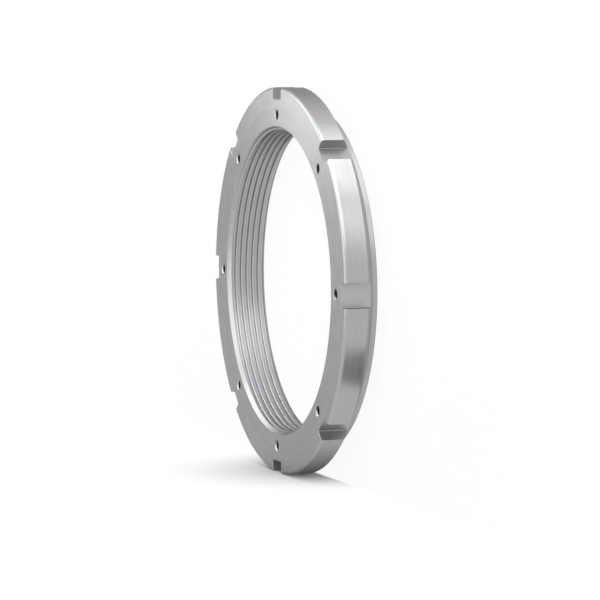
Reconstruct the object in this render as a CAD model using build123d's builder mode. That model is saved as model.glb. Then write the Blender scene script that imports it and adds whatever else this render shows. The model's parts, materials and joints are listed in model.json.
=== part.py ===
from build123d import *
import math
import os

# Bearing lock nut for a large adapter sleeve, in millimetres.
# One turned steel ring lies on its contact face, with its thread axis on Z and its slotted front face up.

# Internal thread, right-hand and trapezoidal, measured at its crests, with an entry chamfer at each end
thread_minor_diameter = 296.0
thread_pitch = 6.0
thread_depth = 2.5
thread_crest_width = 2.2
thread_flank_angle = 15.0
thread_start = 0.6
bore_chamfer = 3.6

# Ring, from the bore outwards: the contact collar, then the cone and the outer land
nut_width = 40.0
collar_wall = 22.0
collar_height = 5.4
contact_edge_chamfer = 0.8
shoulder = 20.0
cone_angle = 30.0
front_edge_radius = 3.0

# Spanner slots
slot_count = 8
slot_width = 24.0
slot_depth = 12.0

# Tapped holes for the screws of the locking clips, one below each slot, at their tap-drill size
clip_hole_inset = 15.0
clip_hole_diameter = 8.5
clip_hole_depth = 22.0
clip_hole_mouth_diameter = 11.0
countersink_angle = 90.0

# The groove of the thread starts each turn between two slots, and its sides run on a little into the bore
turn_start_angle = 180 / slot_count
flank_slope = math.tan(math.radians(thread_flank_angle))
groove_overrun = thread_depth / 4
half_groove = (thread_pitch - thread_crest_width) / 2
half_groove_mouth = half_groove + groove_overrun * flank_slope
half_groove_root = half_groove - thread_depth * flank_slope
first_turn = thread_start + thread_pitch * (turn_start_angle / 360 - 1)
turn_count = math.ceil((nut_width - first_turn) / thread_pitch)

bore_radius = thread_minor_diameter / 2
mouth_radius = bore_radius + bore_chamfer
collar_radius = bore_radius + collar_wall
outer_radius = collar_radius + shoulder
land_start = collar_height + shoulder * math.tan(math.radians(cone_angle))
slot_floor_radius = outer_radius - slot_depth
slot_reach = slot_depth + slot_width
clip_circle_radius = bore_radius + clip_hole_inset
clip_hole_radius = clip_hole_diameter / 2


with BuildPart() as thread_turn:
    # One turn of the thread's groove, swept along a helix at the crest radius
    with BuildLine() as climb:
        Helix(thread_pitch, thread_pitch, bore_radius, center=(0, 0, first_turn))
    with BuildSketch(Plane(origin=climb.line @ 0, x_dir=(1, 0, 0), z_dir=climb.line % 0)):
        with BuildLine():
            Polyline(
                (-groove_overrun, half_groove_mouth),
                (thread_depth, half_groove_root),
                (thread_depth, -half_groove_root),
                (-groove_overrun, -half_groove_mouth),
                close=True,
            )
        make_face()
    sweep(path=climb.line, is_frenet=True)


with BuildPart() as lock_nut:
    # Half section of the ring, turned about the thread axis
    with BuildSketch(Plane.XZ) as section:
        with BuildLine():
            Polyline(
                (bore_radius, bore_chamfer),
                (mouth_radius, 0),
                (collar_radius - contact_edge_chamfer, 0),
                (collar_radius, contact_edge_chamfer),
                (collar_radius, collar_height),
                (outer_radius, land_start),
                (outer_radius, nut_width),
                (mouth_radius, nut_width),
                (bore_radius, nut_width - bore_chamfer),
                close=True,
            )
        make_face()
        front_corner = section.vertices().group_by(Axis.X)[-1].sort_by(Axis.Y)[-1]
        fillet(front_corner, front_edge_radius)
    revolve(axis=Axis.Z)

    # The thread, cut turn by turn from below the contact face to above the front face
    with Locations([(0, 0, turn * thread_pitch) for turn in range(turn_count)]):
        add(thread_turn.part, rotation=(0, 0, turn_start_angle), mode=Mode.SUBTRACT)

    # Spanner slots, with flat floors and parallel walls, open at the front face and through the cone
    with BuildSketch(Plane.XY):
        with PolarLocations(slot_floor_radius + slot_reach / 2, slot_count):
            Rectangle(slot_reach, slot_width)
    extrude(amount=nut_width, mode=Mode.SUBTRACT)

    # Tapped holes, drilled and countersunk from the front face
    with Locations(Plane.XY.offset(nut_width)):
        with PolarLocations(clip_circle_radius, slot_count):
            CounterSinkHole(
                clip_hole_radius, clip_hole_mouth_diameter / 2, clip_hole_depth, countersink_angle
            )

lock_nut.part.label = "lock_nut"
os.makedirs("parts", exist_ok=True)
export_step(lock_nut.part, "parts/lock_nut.step")
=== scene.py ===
import json
import math

import bmesh
import bpy
from mathutils import Matrix, Vector


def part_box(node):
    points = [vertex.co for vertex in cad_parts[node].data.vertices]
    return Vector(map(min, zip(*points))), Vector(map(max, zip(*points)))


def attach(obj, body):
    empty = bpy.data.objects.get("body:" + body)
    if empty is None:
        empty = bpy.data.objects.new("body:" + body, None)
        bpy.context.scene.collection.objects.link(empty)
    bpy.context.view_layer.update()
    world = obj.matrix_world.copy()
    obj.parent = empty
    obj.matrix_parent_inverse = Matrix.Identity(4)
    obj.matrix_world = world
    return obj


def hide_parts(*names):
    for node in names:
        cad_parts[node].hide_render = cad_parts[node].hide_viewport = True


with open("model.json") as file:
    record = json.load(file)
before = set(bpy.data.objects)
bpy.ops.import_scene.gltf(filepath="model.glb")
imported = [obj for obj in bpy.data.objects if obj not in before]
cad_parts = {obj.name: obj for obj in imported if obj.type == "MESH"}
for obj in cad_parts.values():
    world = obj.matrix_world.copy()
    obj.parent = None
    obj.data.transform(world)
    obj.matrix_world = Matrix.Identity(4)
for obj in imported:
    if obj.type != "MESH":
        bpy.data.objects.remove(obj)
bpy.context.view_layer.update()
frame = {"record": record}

# A bearing lock nut of turned steel, in metres. It lies on its contact face, with the thread axis on Z.

mm = 0.001

# Sizes that the frame gives
mounts = {mount["name"]: mount for mount in frame["record"]["mounts"]}
screw_pattern = mounts["clip_screw_holes"]["dims"]
lowest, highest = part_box("lock_nut")
contact_z = lowest.z
front_z = highest.z
bore_radius = mounts["sleeve_thread"]["dims"]["r_mm"] * mm
hole_count = screw_pattern["count"]
hole_circle_radius = screw_pattern["pcd_mm"] / 2 * mm
hole_radius = screw_pattern["hole_r_mm"] * mm

# Ring
bore_chamfer = 3.6 * mm
collar_wall = 22.0 * mm
collar_height = 5.4 * mm
contact_edge_chamfer = 0.8 * mm
shoulder = 20.0 * mm
cone_angle = math.radians(30)
front_edge_radius = 3.0 * mm
edge_break = 0.25 * mm
mouth_radius = bore_radius + bore_chamfer
collar_radius = bore_radius + collar_wall
outer_radius = collar_radius + shoulder
land_start = contact_z + collar_height + shoulder * math.tan(cone_angle)

# Spanner slots
slot_count = 8
slot_width = 24.0 * mm
slot_depth = 12.0 * mm
slot_corner_radius = 0.8 * mm
slot_edge_break = 0.25 * mm
slot_floor = outer_radius - slot_depth
slot_overrun = 4.0 * mm

# Tapped holes for the clip screws, M10 by 1.5
hole_depth = 22.0 * mm
hole_mouth_radius = 5.5 * mm
drill_point_angle = math.radians(118)
tap_pitch = 1.5 * mm
tap_depth = 0.75 * mm
tap_flank_angle = math.radians(30)
tap_root_width = 0.25 * mm
tap_length = 19.0 * mm
tap_spare_turns = 1.0

# Sleeve thread, trapezoidal, right-hand
thread_pitch = 6.0 * mm
thread_depth = 2.5 * mm
thread_crest_width = 2.2 * mm
thread_flank_angle = math.radians(15)
thread_start = 0.6 * mm
thread_crest_rounding = 1.1 * mm
thread_root_rounding = 0.6 * mm
thread_spare_turns = 2.0

# How far the cutters run past the steel, and how far a threading cutter stays off the crests
cutter_overrun = 1.6 * mm
tap_overrun = 0.3 * mm
crest_clearance = 0.05 * mm

# Tints of the steel, by how it was cut, and of its reflections seen at a flat angle. The holes' near-black
# tint is painted shade in their depth
steel_tint = (0.445, 0.445, 0.447)
# The threaded and faced tints are a little lighter than the turned one as painted light
thread_painted_light_tint = (0.48, 0.48, 0.482)
face_painted_light_tint = (0.46, 0.46, 0.462)
hole_painted_shade_tint = (0.09, 0.09, 0.09)
edge_tint = (0.35, 0.35, 0.35)

# Tool marks: fine lines, broader bands of lines, and soft clouds. Highlights are drawn out across the lines
highlight_turn = 0.25
noise_low = 0.3
noise_high = 0.7
line_detail = 3.0
line_contrast = 0.05
line_depth = 0.01 * mm
line_strength = 0.4
band_lines = 9
band_detail = 2.0
band_contrast = 0.03
band_roughness = 0.03
cloud_size = 14 * mm
cloud_detail = 3.0
cloud_contrast = 0.025
cloud_roughness = 0.02
upright_stretch = 0.04
level_stretch = 0.03

# Which faces count as flat, and which edges as sharp
flat_limit = 0.999
sharp_angle = math.radians(30)
normal_weight = 100

# Floor, which turns to plain white away from the nut
floor_reach = 6.0
floor_gap = 0.05 * mm
floor_colour = 0.95
floor_white = 0.93
white_from = 0.25
white_to = 0.6

# Side board. Beside the rim its white gives way to a grey matt, a painted shadow that also shows the lamps'
# real shadow; it is whole in its core and fades out to its reach
board_width = 7.0
board_height = 3.0
board_colour = 0.53
shadow_x = -7 * mm
shadow_z = 8 * mm
shadow_reach = 152 * mm
shadow_core = 0.05
foot_fade = 8 * mm

# Dark card on the floor, along a line between two places, put there for a painted dark reflection in the
# steel
card_start = (0.180, -0.077)
card_end = (0.280, -0.187)
card_width = 50 * mm
card_colour = 0.03

# Light
fill_level = 0.35
white = (1, 1, 1)
cool_white = (0.78, 0.9, 1)

# Camera, set to the photograph's view, with its lens and sensor in millimetres
camera_azimuth = math.radians(4.995)
camera_elevation = math.radians(20.197)
camera_roll = math.radians(-91.73)
camera_distance = 3.2161
camera_reach = 50.0
camera_sensor = 36
camera_lens = 195.78
camera_shift = (-0.02489, -0.0339)

# Fineness of the meshes
turning_steps = 480
drill_steps = 36
rim_steps = 8
arc_step = 0.4 * mm
merge_distance = 0.002 * mm


def rounded_outline(corners):
    """Points of a closed outline. Each corner is (u, v, radius), and one with a radius becomes an arc."""
    points = []
    for index, (u, v, radius) in enumerate(corners):
        corner = Vector((u, v))
        if not radius:
            points.append(corner)
            continue
        back = (Vector(corners[index - 1][:2]) - corner).normalized()
        ahead = (Vector(corners[(index + 1) % len(corners)][:2]) - corner).normalized()
        half = back.angle(ahead) / 2
        middle = corner + (back + ahead).normalized() * radius / math.sin(half)
        start = corner + back * radius / math.tan(half) - middle
        end = corner + ahead * radius / math.tan(half) - middle
        turn = -start.angle_signed(end)
        steps = max(2, math.ceil(abs(turn) * radius / arc_step))
        points += [middle + Matrix.Rotation(turn * step / steps, 2) @ start for step in range(steps + 1)]
    return points


def piece_from(name, bm, finish):
    """A new object from mesh data, with its doubles merged and its faces turned outwards."""
    bmesh.ops.remove_doubles(bm, verts=bm.verts, dist=merge_distance)
    bmesh.ops.recalc_face_normals(bm, faces=bm.faces)
    mesh = bpy.data.meshes.new(name)
    bm.to_mesh(mesh)
    bm.free()
    mesh.materials.append(finish)
    piece = bpy.data.objects.new(name, mesh)
    bpy.context.scene.collection.objects.link(piece)
    return piece


def join_rings(bm, rings, closed):
    """Faces between each ring of vertices and the next, where a ring may be one vertex repeated."""
    pairs = list(zip(rings, rings[1:] + rings[:1] if closed else rings[1:]))
    for ring, following in pairs:
        for index in range(len(ring)):
            corners = (ring[index - 1], ring[index], following[index], following[index - 1])
            different = list(dict.fromkeys(corners))
            if len(different) > 2:
                bm.faces.new(different)


def turned(name, outline, steps, finish, centre=(0, 0, 0)):
    """A solid turned about an upright axis from an outline of (r, z) points."""
    bm = bmesh.new()
    rings = []
    for r, z in outline:
        if r < merge_distance:
            rings.append([bm.verts.new((0, 0, z))] * steps)
            continue
        angles = [math.tau * step / steps for step in range(steps)]
        rings.append([bm.verts.new((r * math.cos(a), r * math.sin(a), z)) for a in angles])
    join_rings(bm, rings, closed=True)
    bmesh.ops.translate(bm, verts=bm.verts, vec=centre)
    return piece_from(name, bm, finish)


def nut_blank():
    """The ring before it is slotted, drilled and threaded, with no finish yet."""
    outline = rounded_outline([
        (bore_radius, contact_z + bore_chamfer, edge_break),
        (mouth_radius, contact_z, edge_break),
        (collar_radius - contact_edge_chamfer, contact_z, 0),
        (collar_radius, contact_z + contact_edge_chamfer, 0),
        (collar_radius, contact_z + collar_height, edge_break),
        (outer_radius, land_start, edge_break),
        (outer_radius, front_z, front_edge_radius),
        (mouth_radius, front_z, edge_break),
        (bore_radius, front_z - bore_chamfer, edge_break),
    ])
    return turned("nut_blank", outline, turning_steps, None)


def slot_cutter(finish):
    """A straight milling cut with a flat floor, from above the front face to below the cone."""
    half = slot_width / 2
    plan = rounded_outline([
        (slot_floor, -half, slot_corner_radius),
        (outer_radius + slot_overrun, -half, 0),
        (outer_radius + slot_overrun, half, 0),
        (slot_floor, half, slot_corner_radius),
    ])
    bm = bmesh.new()
    rings = [
        [bm.verts.new((x, y, z)) for x, y in plan]
        for z in (contact_z - slot_overrun, front_z + slot_overrun)
    ]
    join_rings(bm, rings, closed=False)
    for ring in rings:
        bm.faces.new(ring)
    return piece_from("slot_cutter", bm, finish)


def slot_rim():
    """One half of a slot's rim, from the land over the rounded edge to the middle of the floor.
    Each station is a point, the direction into the slot and the direction out of the steel."""
    half = slot_width / 2
    rounding = Vector((outer_radius - front_edge_radius, front_z - front_edge_radius))
    profile = [(Vector((outer_radius, land_start - slot_overrun)), 0.0)]
    for step in range(rim_steps + 1):
        tilt = math.radians(90) * step / rim_steps
        profile.append((rounding + front_edge_radius * Vector((math.cos(tilt), math.sin(tilt))), tilt))
    rim = []
    for (r, z), tilt in profile:
        x = math.sqrt(r ** 2 - half ** 2)
        out = Vector((x / r * math.cos(tilt), half / r * math.cos(tilt), math.sin(tilt)))
        rim.append((Vector((x, half, z)), Vector((0, -1, 0)), out))
    corner = Vector((slot_floor + slot_corner_radius, half - slot_corner_radius, front_z))
    for step in range(rim_steps + 1):
        angle = math.radians(90 + 90 * step / rim_steps)
        away = Vector((math.cos(angle), math.sin(angle), 0))
        rim.append((corner + away * slot_corner_radius, -away, Vector((0, 0, 1))))
    return rim


def rim_cutter(finish):
    """A three-sided cutter that follows a slot's rim and breaks it at 45 degrees."""
    flip = Matrix.Scale(-1, 3, (0, 1, 0))
    half = slot_rim()
    stations = half + [tuple(flip @ part for part in station) for station in reversed(half)]
    cut = slot_edge_break
    spare = cut / 2
    bm = bmesh.new()
    rings = []
    for point, into, out in stations:
        down_the_wall = point - (cut + spare) * out + spare * into
        over_the_face = point - (cut + spare) * into + spare * out
        clear_of_both = point + cut * (into + out)
        rings.append([bm.verts.new(v) for v in (down_the_wall, over_the_face, clear_of_both)])
    join_rings(bm, rings, closed=False)
    bm.faces.new(rings[0])
    bm.faces.new(rings[-1])
    return piece_from("rim_cutter", bm, finish)


def drill_cutter(finish):
    """A drill with its point, at the place of the first screw hole."""
    bottom = front_z - hole_depth
    point = bottom - hole_radius / math.tan(drill_point_angle / 2)
    top = front_z + cutter_overrun
    outline = [(0, point), (hole_radius, bottom), (hole_radius, top), (0, top)]
    return turned("drill_cutter", outline, drill_steps, finish, (hole_circle_radius, 0, 0))


def countersink_cutter(finish):
    """A right-angled cone that opens the mouth of the first screw hole."""
    top = front_z + cutter_overrun
    outline = [(0, front_z - hole_mouth_radius), (hole_mouth_radius + cutter_overrun, top), (0, top)]
    return turned("countersink_cutter", outline, drill_steps, finish, (hole_circle_radius, 0, 0))


def new_tree(name, sizes):
    """A geometry tree with one named input for each size, its input node and its output node."""
    group = bpy.data.node_groups.new(name, "GeometryNodeTree")
    sockets = group.interface
    sockets.new_socket("Geometry", in_out="INPUT", socket_type="NodeSocketGeometry")
    for label, kind in sizes.items():
        sockets.new_socket(label, in_out="INPUT", socket_type="NodeSocket" + kind)
    sockets.new_socket("Geometry", in_out="OUTPUT", socket_type="NodeSocketGeometry")
    return group, group.nodes.new("NodeGroupInput"), group.nodes.new("NodeGroupOutput")


def node(group, kind, links=None, values=None, **settings):
    """A node with its settings, its inputs' values and what is linked to its inputs."""
    made = group.nodes.new(kind)
    for name, value in settings.items():
        setattr(made, name, value)
    for name, value in (values or {}).items():
        made.inputs[name].default_value = value
    for name, source in (links or {}).items():
        group.links.new(source, made.inputs[name])
    return made


def run_tree(piece, group, sizes):
    """Runs a tree on a piece, keeps the result as the piece's plain mesh and takes the modifier off."""
    modifier = piece.modifiers.new(group.name, "NODES")
    modifier.node_group = group
    for item in group.interface.items_tree:
        if item.in_out == "INPUT" and item.name in sizes:
            modifier[item.identifier] = sizes[item.name]
    shown = piece.evaluated_get(bpy.context.evaluated_depsgraph_get())
    mesh = bpy.data.meshes.new_from_object(shown)
    piece.modifiers.remove(modifier)
    piece.data = mesh
    return piece


def ring_tree():
    """Repeats the piece's own mesh around the thread axis."""
    group, given, result = new_tree("repeat_around_axis", {
        "Count": "Int",
        "Step": "Float",
        "Finish": "Material",
    })
    points = node(group, "GeometryNodeMeshLine", {"Count": given.outputs["Count"]}, {"Offset": (0, 0, 0)})
    copies = node(
        group, "GeometryNodeInstanceOnPoints",
        {"Points": points.outputs["Mesh"], "Instance": given.outputs["Geometry"]},
    )
    index = node(group, "GeometryNodeInputIndex")
    angle = node(
        group, "ShaderNodeMath", {0: index.outputs["Index"], 1: given.outputs["Step"]}, operation="MULTIPLY"
    )
    about_z = node(group, "ShaderNodeCombineXYZ", {"Z": angle.outputs["Value"]})
    turned_copies = node(
        group, "GeometryNodeRotateInstances",
        {"Instances": copies.outputs["Instances"], "Rotation": about_z.outputs["Vector"]},
        {"Local Space": False},
    )
    real = node(group, "GeometryNodeRealizeInstances", {"Geometry": turned_copies.outputs["Instances"]})
    finished = node(
        group, "GeometryNodeSetMaterial",
        {"Geometry": real.outputs["Geometry"], "Material": given.outputs["Finish"]},
    )
    group.links.new(finished.outputs["Geometry"], result.inputs["Geometry"])
    return group


def helix_tree():
    """Sweeps a cutter's section along a right-hand helix at the thread's crest radius."""
    group, given, result = new_tree("threading_cutter", {
        "Section": "Object",
        "Crest Radius": "Float",
        "Turns": "Float",
        "Rise": "Float",
        "Steps per Turn": "Int",
        "Start": "Vector",
        "Finish": "Material",
    })
    climb = node(
        group, "GeometryNodeCurveSpiral",
        {
            "Resolution": given.outputs["Steps per Turn"],
            "Rotations": given.outputs["Turns"],
            "Start Radius": given.outputs["Crest Radius"],
            "End Radius": given.outputs["Crest Radius"],
            "Height": given.outputs["Rise"],
        },
        {"Reverse": True},
    )
    upright = node(group, "GeometryNodeSetCurveNormal", {"Curve": climb.outputs["Curve"]}, mode="Z_UP")
    section = node(group, "GeometryNodeObjectInfo", {"Object": given.outputs["Section"]})
    swept = node(
        group, "GeometryNodeCurveToMesh",
        {"Curve": upright.outputs["Curve"], "Profile Curve": section.outputs["Geometry"]},
        {"Fill Caps": True},
    )
    placed = node(
        group, "GeometryNodeTransform",
        {"Geometry": swept.outputs["Mesh"], "Translation": given.outputs["Start"]},
    )
    real = node(group, "GeometryNodeRealizeInstances", {"Geometry": placed.outputs["Geometry"]})
    finished = node(
        group, "GeometryNodeSetMaterial",
        {"Geometry": real.outputs["Geometry"], "Material": given.outputs["Finish"]},
    )
    group.links.new(finished.outputs["Geometry"], result.inputs["Geometry"])
    return group


def cut_tree(cutters):
    """Takes each set of cutters away from the piece in turn, and finishes what they left untouched."""
    sizes = {name: "Object" for name in cutters} | {"Finish": "Material"}
    group, given, result = new_tree("cut_the_nut", sizes)
    steel = given.outputs["Geometry"]
    for name in cutters:
        cutter = node(group, "GeometryNodeObjectInfo", {"Object": given.outputs[name]})
        cut = node(
            group, "GeometryNodeMeshBoolean", {"Mesh 1": steel, "Mesh 2": cutter.outputs["Geometry"]},
            operation="DIFFERENCE", solver="MANIFOLD",
        )
        steel = cut.outputs["Mesh"]
    real = node(group, "GeometryNodeRealizeInstances", {"Geometry": steel})
    slot_number = node(group, "GeometryNodeInputMaterialIndex")
    untouched = node(
        group, "FunctionNodeCompare", {2: slot_number.outputs[0]}, {3: 0}, data_type="INT", operation="EQUAL"
    )
    finished = node(
        group, "GeometryNodeSetMaterial",
        {
            "Geometry": real.outputs["Geometry"],
            "Selection": untouched.outputs["Result"],
            "Material": given.outputs["Finish"],
        },
    )
    group.links.new(finished.outputs["Geometry"], result.inputs["Geometry"])
    return group


def groove_section(depth, overrun, root_width, flank, crest_rounding=0, root_rounding=0, crest_cover=0):
    """The section of a threading cutter, with its own radius zero at the thread's crest.
    To round the crests too, it covers them for some way to each side of the groove."""
    root = root_width / 2
    mouth = root + depth * math.tan(flank)
    if crest_rounding:
        half = [
            (-overrun, -mouth - crest_cover, 0),
            (-crest_clearance, -mouth - crest_cover, 0),
            (0, -mouth, crest_rounding),
            (depth, -root, root_rounding),
        ]
    else:
        half = [(-overrun, -mouth - overrun * math.tan(flank), 0), (depth, -root, 0)]
    points = rounded_outline(half + [(out, -along, radius) for out, along, radius in reversed(half)])
    curve = bpy.data.curves.new("groove_section", "CURVE")
    spline = curve.splines.new("POLY")
    spline.points.add(len(points) - 1)
    for target, (out, along) in zip(spline.points, points):
        target.co = (out, along, 0, 1)
    spline.use_cyclic_u = True
    section = bpy.data.objects.new("groove_section", curve)
    bpy.context.scene.collection.objects.link(section)
    return section


def threading_cutter(name, section, crest_radius, pitch, turns, steps, start, finish):
    """The helical cutter of one thread, whose start is its lower end."""
    piece = bpy.data.objects.new(name, bpy.data.meshes.new(name))
    bpy.context.scene.collection.objects.link(piece)
    run_tree(piece, helix_tree(), {
        "Section": section,
        "Crest Radius": crest_radius,
        "Turns": turns,
        "Rise": turns * pitch,
        "Steps per Turn": steps,
        "Start": start,
        "Finish": finish,
    })
    bpy.data.objects.remove(section)
    return piece


def repeat(piece, count, finish):
    """The piece again and again around the thread axis."""
    return run_tree(piece, ring_tree(), {"Count": count, "Step": math.tau / count, "Finish": finish})


def tap_cutter(finish):
    """The cutter of one screw hole's thread, at the place of the first hole."""
    section = groove_section(tap_depth, tap_overrun, tap_root_width, tap_flank_angle)
    turns = math.ceil(tap_length / tap_pitch) + tap_spare_turns
    start = (hole_circle_radius, 0, front_z + tap_pitch - turns * tap_pitch)
    return threading_cutter("tap_cutter", section, hole_radius, tap_pitch, turns, drill_steps, start, finish)


def sleeve_thread_cutter(finish):
    """The cutter of the sleeve thread, which leaves its crests and roots rounded."""
    root_width = thread_pitch - thread_crest_width - 2 * thread_depth * math.tan(thread_flank_angle)
    section = groove_section(
        thread_depth, cutter_overrun, root_width, thread_flank_angle, thread_crest_rounding,
        thread_root_rounding, thread_crest_width / 2 - crest_clearance,
    )
    turns = math.ceil((front_z - contact_z) / thread_pitch) + thread_spare_turns
    start = (0, 0, contact_z - thread_pitch + thread_start)
    return threading_cutter(
        "sleeve_thread_cutter", section, bore_radius, thread_pitch, turns, turning_steps, start, finish
    )


def lock_nut(turned_finish, milled_finish, drilled_finish, hole_painted_shade_finish, threaded_painted_light_finish):
    """The finished nut, cut from its turned blank."""
    cutters = {
        "Slots": repeat(slot_cutter(milled_finish), slot_count, milled_finish),
        "Slot Rims": repeat(rim_cutter(milled_finish), slot_count, milled_finish),
        # The drills and taps leave the holes' painted shade on their walls
        "Drills": repeat(drill_cutter(hole_painted_shade_finish), hole_count, hole_painted_shade_finish),
        "Taps": repeat(tap_cutter(hole_painted_shade_finish), hole_count, hole_painted_shade_finish),
        "Countersinks": repeat(countersink_cutter(drilled_finish), hole_count, drilled_finish),
        "Thread": sleeve_thread_cutter(threaded_painted_light_finish),
    }
    nut = run_tree(nut_blank(), cut_tree(cutters), cutters | {"Finish": turned_finish})
    nut.name = nut.data.name = "lock_nut_steel"
    for cutter in cutters.values():
        bpy.data.objects.remove(cutter)
    return nut


def face_finish(piece, turned_finish, faced_painted_light_finish):
    """Gives the flat front and contact faces the finish of a facing cut, whose lighter tint is painted
    light.
    """
    mesh = piece.data
    turned_index = list(mesh.materials).index(turned_finish)
    mesh.materials.append(faced_painted_light_finish)
    for face in mesh.polygons:
        if face.material_index == turned_index and abs(face.normal.z) > flat_limit:
            face.material_index = len(mesh.materials) - 1


def shade(piece):
    """Smooth where the surface runs on, crisp at its edges."""
    mesh = piece.data
    mesh.shade_smooth()
    bm = bmesh.new()
    bm.from_mesh(mesh)
    for edge in bm.edges:
        edge.smooth = len(edge.link_faces) == 2 and edge.calc_face_angle() < sharp_angle
    bm.to_mesh(mesh)
    bm.free()
    weighted = piece.modifiers.new("even_normals", "WEIGHTED_NORMAL")
    weighted.keep_sharp = True
    weighted.weight = normal_weight


def two_terms(group, kind, operation, first, second):
    """A node that works on two terms, each a linked output or a plain value."""
    links, values = {}, {}
    for index, term in enumerate((first, second)):
        (links if isinstance(term, bpy.types.NodeSocket) else values)[index] = term
    return node(group, kind, links, values, operation=operation)


def number_math(group, operation, first, second):
    """A sum, product or the like of two numbers."""
    return two_terms(group, "ShaderNodeMath", operation, first, second).outputs["Value"]


def vector_math(group, operation, first, second):
    """A sum, product or the like of two vectors or colours."""
    return two_terms(group, "ShaderNodeVectorMath", operation, first, second).outputs["Vector"]


def shaded_point(group):
    """The point being shaded, in the piece's own coordinates."""
    return node(group, "ShaderNodeTexCoord").outputs["Object"]


def height(group, point):
    """A point's height."""
    return node(group, "ShaderNodeSeparateXYZ", {0: point}).outputs["Z"]


def distance_from_axis(group, point):
    """A point's distance from the thread axis."""
    level = vector_math(group, "MULTIPLY", point, (1, 1, 0))
    return node(group, "ShaderNodeVectorMath", {0: level}, operation="LENGTH").outputs["Value"]


def around_axis(group, point):
    """The direction around the thread axis at a point."""
    around = vector_math(group, "CROSS_PRODUCT", (0, 0, 1), point)
    return node(group, "ShaderNodeVectorMath", {0: around}, operation="NORMALIZE").outputs["Vector"]


def along_axis(group, point):
    """The direction of the thread axis, which is the same at every point."""
    return node(group, "ShaderNodeCombineXYZ", values={"Z": 1}).outputs["Vector"]


def grain(group, point, spacing, detail):
    """Noise whose features are about one spacing wide."""
    return node(
        group, "ShaderNodeTexNoise", {"Vector": point}, {"Scale": 1 / spacing, "Detail": detail}
    ).outputs[0]


def ramp(group, value, low, high, start=0, end=1, kind="LINEAR"):
    """Maps a range of a value onto another."""
    return node(
        group, "ShaderNodeMapRange", {"Value": value},
        {"From Min": low, "From Max": high, "To Min": start, "To Max": end}, interpolation_type=kind,
    ).outputs["Result"]


def swing(group, noise, amount, middle=0):
    """Turns noise into a value that swings by an amount to each side of its middle."""
    return ramp(group, noise, noise_low, noise_high, middle - amount, middle + amount)


def ring_lines(group, point):
    """Lines that run around the thread axis, on faces and on cylinders alike."""
    sides = {"X": distance_from_axis(group, point), "Z": height(group, point)}
    return node(group, "ShaderNodeCombineXYZ", sides).outputs["Vector"]


def upright_lines(group, point):
    """Lines that run along the thread axis."""
    return vector_math(group, "MULTIPLY", point, (1, 1, upright_stretch))


def level_lines(group, point):
    """Lines at one height, around each screw hole."""
    return vector_math(group, "MULTIPLY", point, (level_stretch, level_stretch, 1))


def machined_steel(name, tint, cut_lines, cut_direction, roughness, anisotropy, line_spacing):
    """Steel with the lines, bands and clouds that a cutting tool leaves."""
    material = bpy.data.materials.new(name)
    material.use_nodes = True
    group = material.node_tree
    bsdf = group.nodes["Principled BSDF"]
    point = shaded_point(group)
    lines_point = cut_lines(group, point)
    lines = grain(group, lines_point, line_spacing, line_detail)
    bands = grain(group, lines_point, line_spacing * band_lines, band_detail)
    clouds = grain(group, point, cloud_size, cloud_detail)
    line_tone = swing(group, lines, line_contrast)
    band_tone = swing(group, bands, band_contrast)
    cloud_tone = swing(group, clouds, cloud_contrast, middle=1)
    tone = number_math(group, "ADD", number_math(group, "ADD", line_tone, band_tone), cloud_tone)
    rough_bands = swing(group, bands, band_roughness)
    rough_clouds = swing(group, clouds, cloud_roughness, middle=roughness)
    bump = node(
        group, "ShaderNodeBump", {"Height": lines}, {"Strength": line_strength, "Distance": line_depth}
    )
    group.links.new(vector_math(group, "MULTIPLY", tone, tint), bsdf.inputs["Base Color"])
    group.links.new(number_math(group, "ADD", rough_bands, rough_clouds), bsdf.inputs["Roughness"])
    group.links.new(bump.outputs["Normal"], bsdf.inputs["Normal"])
    group.links.new(cut_direction(group, point), bsdf.inputs["Tangent"])
    bsdf.inputs["Metallic"].default_value = 1.0
    bsdf.inputs["Specular Tint"].default_value = (*edge_tint, 1)
    bsdf.inputs["Anisotropic"].default_value = anisotropy
    bsdf.inputs["Anisotropic Rotation"].default_value = highlight_turn
    return material


def shows_background(group):
    """One for the rays that show the background: the camera's, and those off metal or through glass."""
    path = node(group, "ShaderNodeLightPath").outputs
    direct_or_mirrored = number_math(group, "MAXIMUM", path["Is Camera Ray"], path["Is Glossy Ray"])
    return number_math(group, "MAXIMUM", direct_or_mirrored, path["Is Transmission Ray"])


def pale_surface(name, colour):
    """A matt material, its tree, and a shader that mixes it with plain white."""
    material = bpy.data.materials.new(name)
    material.use_nodes = True
    group = material.node_tree
    group.nodes.remove(group.nodes["Principled BSDF"])
    matt = node(group, "ShaderNodeBsdfDiffuse", values={"Color": (colour, colour, colour, 1)})
    plain = node(group, "ShaderNodeEmission")
    shown = node(group, "ShaderNodeMixShader", {1: matt.outputs[0], 2: plain.outputs[0]})
    return material, group, shown


def pale_floor():
    """A floor that keeps a little of the nut's shadow and is plain white further off."""
    material, group, shown = pale_surface("pale_floor", floor_colour)
    away = distance_from_axis(group, shaded_point(group))
    whiteness = ramp(group, away, white_from, white_to, floor_white)
    group.links.new(number_math(group, "MULTIPLY", shows_background(group), whiteness), shown.inputs[0])
    group.links.new(shown.outputs[0], group.nodes["Material Output"].inputs["Surface"])
    return material


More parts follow.
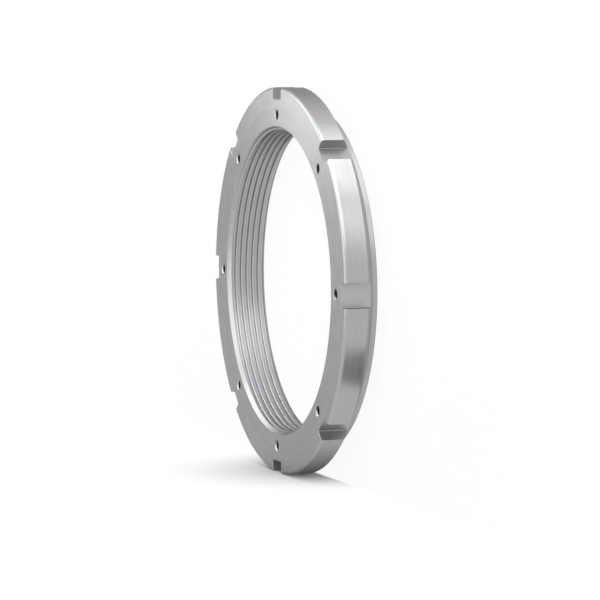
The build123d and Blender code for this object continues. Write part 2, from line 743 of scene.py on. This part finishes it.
def pale_board():
    """A board that is grey beside the rim as painted shadow over the nut's real shadow, fades to white at
    its foot and is clear from behind.
    """
    material, group, shown = pale_surface("pale_board", board_colour)
    point = shaded_point(group)
    away = node(
        group, "ShaderNodeVectorMath", {0: point}, {1: (shadow_x, lowest.y, shadow_z)}, operation="DISTANCE"
    ).outputs["Value"]
    clear = ramp(group, away, shadow_core * shadow_reach, shadow_reach, kind="SMOOTHSTEP")
    foot = ramp(group, height(group, point), contact_z + foot_fade, contact_z, kind="SMOOTHSTEP")
    whiteness = number_math(group, "MAXIMUM", clear, foot)
    group.links.new(number_math(group, "MULTIPLY", shows_background(group), whiteness), shown.inputs[0])
    behind = node(group, "ShaderNodeNewGeometry").outputs["Backfacing"]
    nothing = node(group, "ShaderNodeBsdfTransparent")
    sided = node(group, "ShaderNodeMixShader", {0: behind, 1: shown.outputs[0], 2: nothing.outputs[0]})
    group.links.new(sided.outputs[0], group.nodes["Material Output"].inputs["Surface"])
    return material


def stage_plate(name, corners, finish):
    """A flat plate of the stage, whose front is the side its corners run round anticlockwise."""
    bm = bmesh.new()
    bm.faces.new([bm.verts.new(corner) for corner in corners])
    mesh = bpy.data.meshes.new(name)
    bm.to_mesh(mesh)
    bm.free()
    mesh.materials.append(finish)
    plate = bpy.data.objects.new(name, mesh)
    bpy.context.scene.collection.objects.link(plate)
    return plate


def floor():
    """A pale floor under the contact face."""
    z = contact_z - floor_gap
    sides = [(-1, -1), (1, -1), (1, 1), (-1, 1)]
    return stage_plate("floor", [(x * floor_reach, y * floor_reach, z) for x, y in sides], pale_floor())


def side_board():
    """A pale board that stands against the rim, on the side that is lowest in the photograph."""
    y = lowest.y - floor_gap
    half = board_width / 2
    foot = contact_z - floor_gap
    top = foot + board_height
    corners = [(half, y, foot), (-half, y, foot), (-half, y, top), (half, y, top)]
    return stage_plate("side_board", corners, pale_board())


def dark_finish():
    """Matt black card."""
    material = bpy.data.materials.new("dark_card")
    material.use_nodes = True
    bsdf = material.node_tree.nodes["Principled BSDF"]
    bsdf.inputs["Base Color"].default_value = (card_colour, card_colour, card_colour, 1)
    bsdf.inputs["Roughness"].default_value = 1.0
    return material


def dark_card():
    """A dark card laid on the floor beside the rim. Only its reflection in the steel shows, as a painted
    dark reflection.
    """
    start, end = Vector(card_start), Vector(card_end)
    across = (end - start).normalized().orthogonal() * card_width / 2
    z = contact_z + floor_gap
    corners = [(*corner, z) for corner in (start - across, end - across, end + across, start + across)]
    card = stage_plate("dark_card", corners, dark_finish())
    card.visible_camera = card.visible_diffuse = card.visible_shadow = False
    return card


def studio_world():
    """Plain white all round where it shows, and a weaker fill on what is matt."""
    world = bpy.data.worlds.new("studio")
    world.use_nodes = True
    group = world.node_tree
    background = group.nodes["Background"]
    background.inputs["Color"].default_value = (*white, 1)
    strength = ramp(group, shows_background(group), 0, 1, fill_level)
    group.links.new(strength, background.inputs["Strength"])
    bpy.context.scene.world = world


def softbox(name, place, aim, width, length, brightness, tint=white):
    """A rectangular lamp facing a point. A brightness of 1 looks white."""
    lamp = bpy.data.lights.new(name, "AREA")
    lamp.shape = "RECTANGLE"
    lamp.size = width
    lamp.size_y = length
    lamp.energy = brightness * math.pi * width * length
    lamp.color = tint
    made = bpy.data.objects.new(name, lamp)
    made.location = place
    made.rotation_euler = (Vector(aim) - Vector(place)).to_track_quat("-Z", "Y").to_euler()
    made.visible_camera = False
    bpy.context.scene.collection.objects.link(made)


def photograph_camera():
    """Looks at the middle of the contact face from beside and a little above the nut, turned on its side."""
    data = bpy.data.cameras.new("photograph_camera")
    data.sensor_width = camera_sensor
    data.lens = camera_lens
    data.shift_x, data.shift_y = camera_shift
    data.clip_end = camera_reach
    made = bpy.data.objects.new("photograph_camera", data)
    bpy.context.scene.collection.objects.link(made)
    turn = (
        Matrix.Rotation(math.pi / 2 + camera_azimuth, 4, "Z")
        @ Matrix.Rotation(math.pi / 2 - camera_elevation, 4, "X")
        @ Matrix.Rotation(camera_roll, 4, "Z")
    )
    made.matrix_world = turn @ Matrix.Translation((0, 0, camera_distance))
    bpy.context.scene.camera = made


turned_steel = machined_steel(
    "turned_steel", steel_tint, ring_lines, around_axis,
    roughness=0.42, anisotropy=0.75, line_spacing=0.45 * mm,
)
# Faced steel, its tint a little lighter as painted light
faced_steel_painted_light = machined_steel(
    "faced_steel_painted_light", face_painted_light_tint, ring_lines, around_axis,
    roughness=0.36, anisotropy=0.35, line_spacing=0.45 * mm,
)
# Threaded steel, its tint lighter as painted light
threaded_steel_painted_light = machined_steel(
    "threaded_steel_painted_light", thread_painted_light_tint, ring_lines, around_axis,
    roughness=0.38, anisotropy=0.6, line_spacing=0.35 * mm,
)
milled_steel = machined_steel(
    "milled_steel", steel_tint, upright_lines, along_axis,
    roughness=0.38, anisotropy=0.5, line_spacing=0.5 * mm,
)
drilled_steel = machined_steel(
    "drilled_steel", steel_tint, level_lines, along_axis,
    roughness=0.35, anisotropy=0.3, line_spacing=0.3 * mm,
)
# Near-black steel inside the drilled and tapped holes: painted shade in their depth
hole_painted_shade_steel = machined_steel(
    "hole_painted_shade_steel", hole_painted_shade_tint, level_lines, along_axis,
    roughness=0.5, anisotropy=0.0, line_spacing=0.3 * mm,
)

nut = lock_nut(turned_steel, milled_steel, drilled_steel, hole_painted_shade_steel, threaded_steel_painted_light)
face_finish(nut, turned_steel, faced_steel_painted_light)
shade(nut)
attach(nut, "root")
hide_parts("lock_nut")

floor()
side_board()
dark_card()
studio_world()
softbox("overhead", place=(0, 0.3, 1.0), aim=(0, 0.3, 0), width=0.95, length=0.95, brightness=1.3)
softbox("low_side", place=(0.25, 0.45, 0.15), aim=(0.25, 0, 0.15), width=0.3, length=0.3, brightness=5.1)
softbox("high_side", place=(-0.35, 0.45, 0.45), aim=(-0.35, 0, 0.45), width=0.3, length=0.3, brightness=3.95)
softbox(
    "far_side", place=(0, 1.3, 0.35), aim=(0, 0, 0.35),
    width=0.65, length=0.7, brightness=1.7, tint=cool_white,
)
softbox("back", place=(-0.75, 0.3, 0.55), aim=(0, 0.3, 0.55), width=0.3, length=0.33, brightness=5.2)
softbox("front", place=(0.9, 0.7, 0.3), aim=(0, 0.7, 0.3), width=0.5, length=0.5, brightness=4.8)
photograph_camera()
bpy.context.scene.view_settings.view_transform = "Standard"
